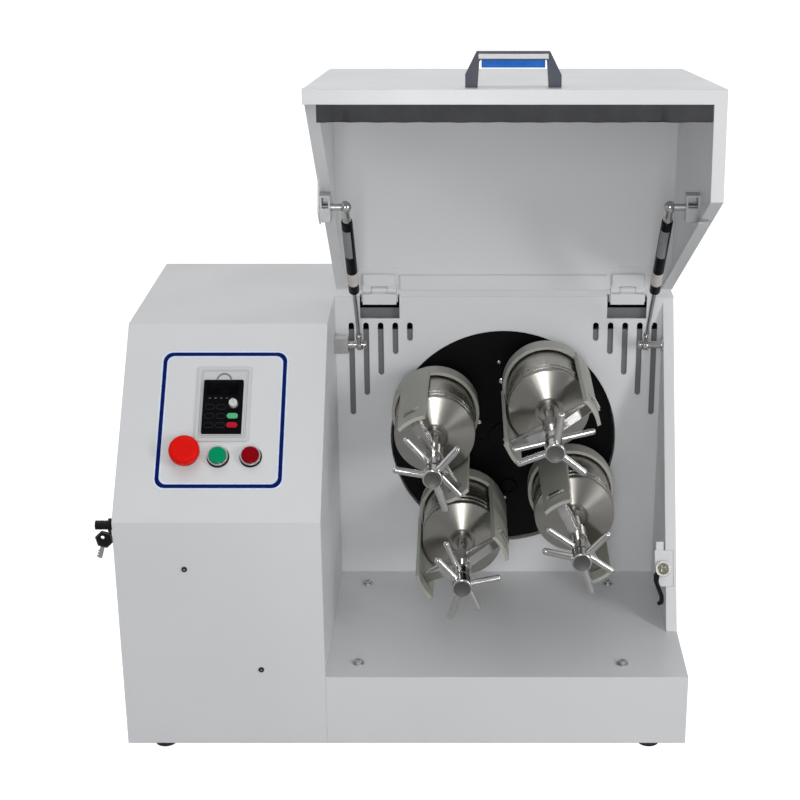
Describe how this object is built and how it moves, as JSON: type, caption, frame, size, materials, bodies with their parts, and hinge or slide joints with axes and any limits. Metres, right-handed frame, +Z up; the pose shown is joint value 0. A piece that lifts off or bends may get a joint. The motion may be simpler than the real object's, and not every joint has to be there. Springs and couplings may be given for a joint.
{
  "type": "horizontal planetary ball mill",
  "caption": "Bench mill: clamped steel jars on a geared disc in a chamber, hinged lid on gas struts, sloped control panel",
  "frame": {"origin": "on the bench, under the middle of the machine's body", "axes": "+Z up, +Y to the back, +X to the right as seen from the front; the lid rests open"},
  "size_m": [0.7819, 0.6043, 0.9381],
  "materials": {
    "body_paint": "satin",
    "holder_paint": "satin",
    "stainless": "satin",
    "polished_steel": "gloss",
    "dark_steel": "satin",
    "disc_black": "satin",
    "black_paint": "gloss",
    "black_plastic": "matte",
    "grey_plastic": "matte",
    "rubber": "matte",
    "red_plastic": "gloss",
    "dark_red_plastic": "gloss",
    "green_plastic": "gloss",
    "white_plastic": "gloss",
    "brass": "satin",
    "motor_grey": "satin"
  },
  "bodies": {
    "housing": {"base_plinth": "body_paint", "cabinet_shell": "body_paint", "chamber_shell": "body_paint", "rear_panel": "body_paint", "body_hardware": "polished_steel", "feet": "rubber", "power_inlet": "black_plastic", "gear_housing": "dark_steel", "drive_frame": "body_paint", "motor": "motor_grey", "drive_belt": "rubber", "inverter": "grey_plastic", "hinge_brackets": "body_paint", "keypad_unit": "black_plastic", "button_collars": "polished_steel", "key_switch": "black_plastic", "lock_case": "body_paint"},
    "lid": {"lid_shell": "body_paint", "lid_handle": "grey_plastic", "lid_strut_mounts": "dark_steel"},
    "carrier": {"carrier_disc": "disc_black", "drive_shaft": "dark_steel"},
    "motor_rotor": {"motor_pulley": "dark_steel"},
    "estop": {"estop_head": "red_plastic"},
    "start": {"start_button": "green_plastic"},
    "stop": {"stop_button": "dark_red_plastic"},
    "speed_knob": {"keypad_knob": "white_plastic"},
    "run_pad": {"run_key": "green_plastic"},
    "halt_pad": {"halt_key": "red_plastic"},
    "spare_key": {"hanging_key": "black_plastic"},
    "lid_lock": {"lock_barrel": "brass", "lock_hook": "black_paint"},
    "strut_rod_body_left": {"strut_rod_left": "dark_steel"},
    "strut_tube_body_left": {"strut_cylinder_left": "black_paint"},
    "strut_rod_body_right": {"strut_rod_right": "dark_steel"},
    "strut_tube_body_right": {"strut_cylinder_right": "black_paint"},
    "jar_unit_1": {"jar_holder_1": "holder_paint", "jar_1": "stainless", "jar_lid_1": "stainless", "crossbar_1": "polished_steel"},
    "press_1": {"press_screw_1": "polished_steel"},
    "nut_1": {"lock_nut_1": "polished_steel"},
    "jar_unit_2": {"jar_holder_2": "holder_paint", "jar_2": "stainless", "jar_lid_2": "stainless", "crossbar_2": "polished_steel"},
    "press_2": {"press_screw_2": "polished_steel"},
    "nut_2": {"lock_nut_2": "polished_steel"},
    "jar_unit_3": {"jar_holder_3": "holder_paint", "jar_3": "stainless", "jar_lid_3": "stainless", "crossbar_3": "polished_steel"},
    "press_3": {"press_screw_3": "polished_steel"},
    "nut_3": {"lock_nut_3": "polished_steel"},
    "jar_unit_4": {"jar_holder_4": "holder_paint", "jar_4": "stainless", "jar_lid_4": "stainless", "crossbar_4": "polished_steel"},
    "press_4": {"press_screw_4": "polished_steel"},
    "nut_4": {"lock_nut_4": "polished_steel"}
  },
  "joints": [
    {"name": "lid_hinge", "type": "hinge", "parent": "housing", "child": "lid", "pos_m": [0, 0.072, 0.549], "axis": [1, 0, 0], "range_deg": [0, 94.3]},
    {"name": "strut_pivot_left", "type": "hinge", "parent": "housing", "child": "strut_rod_body_left", "pos_m": [-0.071, 0.05, 0.4747], "axis": [1, 0, 0], "range_deg": [0, 101.79]},
    {"name": "strut_slide_left", "type": "slide", "parent": "strut_rod_body_left", "child": "strut_tube_body_left", "axis": [0, -0.6585, 0.7525], "range_m": [-0.10816, 0]},
    {"name": "strut_pivot_right", "type": "hinge", "parent": "housing", "child": "strut_rod_body_right", "pos_m": [0.334, 0.05, 0.4747], "axis": [1, 0, 0], "range_deg": [0, 101.79]},
    {"name": "strut_slide_right", "type": "slide", "parent": "strut_rod_body_right", "child": "strut_tube_body_right", "axis": [0, -0.6585, 0.7525], "range_m": [-0.10816, 0]},
    {"name": "carrier_spin", "type": "hinge", "parent": "housing", "child": "carrier", "pos_m": [0.134, 0.08, 0.324], "axis": [0, -1, 0], "continuous": true},
    {"name": "jar_spin_1", "type": "hinge", "parent": "carrier", "child": "jar_unit_1", "pos_m": [0.1934, 0.08, 0.4213], "axis": [0, -1, 0], "continuous": true},
    {"name": "press_screw_turn_1", "type": "hinge", "parent": "jar_unit_1", "child": "press_1", "pos_m": [0.1934, -0.22, 0.4213], "axis": [0, -1, 0], "range_deg": [0, 1440]},
    {"name": "lock_nut_turn_1", "type": "hinge", "parent": "jar_unit_1", "child": "nut_1", "pos_m": [0.1934, -0.189, 0.4213], "axis": [0, -1, 0], "range_deg": [0, 1080]},
    {"name": "jar_spin_2", "type": "hinge", "parent": "carrier", "child": "jar_unit_2", "pos_m": [0.03669, 0.08, 0.38339], "axis": [0, -1, 0], "continuous": true},
    {"name": "press_screw_turn_2", "type": "hinge", "parent": "jar_unit_2", "child": "press_2", "pos_m": [0.03669, -0.22, 0.38339], "axis": [0, -1, 0], "range_deg": [0, 1440]},
    {"name": "lock_nut_turn_2", "type": "hinge", "parent": "jar_unit_2", "child": "nut_2", "pos_m": [0.03669, -0.189, 0.38339], "axis": [0, -1, 0], "range_deg": [0, 1080]},
    {"name": "jar_spin_3", "type": "hinge", "parent": "carrier", "child": "jar_unit_3", "pos_m": [0.07461, 0.08, 0.2267], "axis": [0, -1, 0], "continuous": true},
    {"name": "press_screw_turn_3", "type": "hinge", "parent": "jar_unit_3", "child": "press_3", "pos_m": [0.07461, -0.22, 0.2267], "axis": [0, -1, 0], "range_deg": [0, 1440]},
    {"name": "lock_nut_turn_3", "type": "hinge", "parent": "jar_unit_3", "child": "nut_3", "pos_m": [0.07461, -0.189, 0.2267], "axis": [0, -1, 0], "range_deg": [0, 1080]},
    {"name": "jar_spin_4", "type": "hinge", "parent": "carrier", "child": "jar_unit_4", "pos_m": [0.23131, 0.08, 0.2646], "axis": [0, -1, 0], "continuous": true},
    {"name": "press_screw_turn_4", "type": "hinge", "parent": "jar_unit_4", "child": "press_4", "pos_m": [0.23131, -0.22, 0.2646], "axis": [0, -1, 0], "range_deg": [0, 1440]},
    {"name": "lock_nut_turn_4", "type": "hinge", "parent": "jar_unit_4", "child": "nut_4", "pos_m": [0.23131, -0.189, 0.2646], "axis": [0, -1, 0], "range_deg": [0, 1080]},
    {"name": "motor_spin", "type": "hinge", "parent": "housing", "child": "motor_rotor", "pos_m": [-0.241, 0.08, 0.126], "axis": [0, -1, 0], "continuous": true},
    {"name": "estop_push", "type": "slide", "parent": "housing", "child": "estop", "axis": [0, 0.7296, -0.6838], "range_m": [0, 0.005]},
    {"name": "start_button_push", "type": "slide", "parent": "housing", "child": "start", "axis": [0, 0.7296, -0.6838], "range_m": [0, 0.003], "stiffness_N_per_m": 300},
    {"name": "stop_button_push", "type": "slide", "parent": "housing", "child": "stop", "axis": [0, 0.7296, -0.6838], "range_m": [0, 0.003], "stiffness_N_per_m": 300},
    {"name": "run_key_push", "type": "slide", "parent": "housing", "child": "run_pad", "axis": [0, 0.7296, -0.6838], "range_m": [0, 0.0009], "stiffness_N_per_m": 200},
    {"name": "halt_key_push", "type": "slide", "parent": "housing", "child": "halt_pad", "axis": [0, 0.7296, -0.6838], "range_m": [0, 0.0009], "stiffness_N_per_m": 200},
    {"name": "speed_knob_turn", "type": "hinge", "parent": "housing", "child": "speed_knob", "pos_m": [-0.2264, -0.14889, 0.46036], "axis": [0, -0.7296, 0.6838], "range_deg": [-135, 135]},
    {"name": "spare_key_swing", "type": "hinge", "parent": "housing", "child": "spare_key", "pos_m": [-0.3864, -0.21, 0.311], "axis": [1, 0, 0], "range_deg": [-60, 60]},
    {"name": "lid_lock_turn", "type": "hinge", "parent": "housing", "child": "lid_lock", "pos_m": [0.356, -0.08458, 0.18767], "axis": [0, -0.9095, 0.4157], "range_deg": [0, 16]}
  ],
  "couplings": [
    {"joint": "strut_pivot_left", "follows": "lid_hinge", "ratio": 1.0784},
    {"joint": "strut_slide_left", "follows": "lid_hinge", "m_per_rad": -0.065592},
    {"joint": "strut_pivot_right", "follows": "lid_hinge", "ratio": 1.0784},
    {"joint": "strut_slide_right", "follows": "lid_hinge", "m_per_rad": -0.065592},
    {"joint": "jar_spin_1", "follows": "carrier_spin", "ratio": 2},
    {"joint": "jar_spin_2", "follows": "carrier_spin", "ratio": 2},
    {"joint": "jar_spin_3", "follows": "carrier_spin", "ratio": 2},
    {"joint": "jar_spin_4", "follows": "carrier_spin", "ratio": 2},
    {"joint": "motor_spin", "follows": "carrier_spin", "ratio": 2.5556}
  ]
}
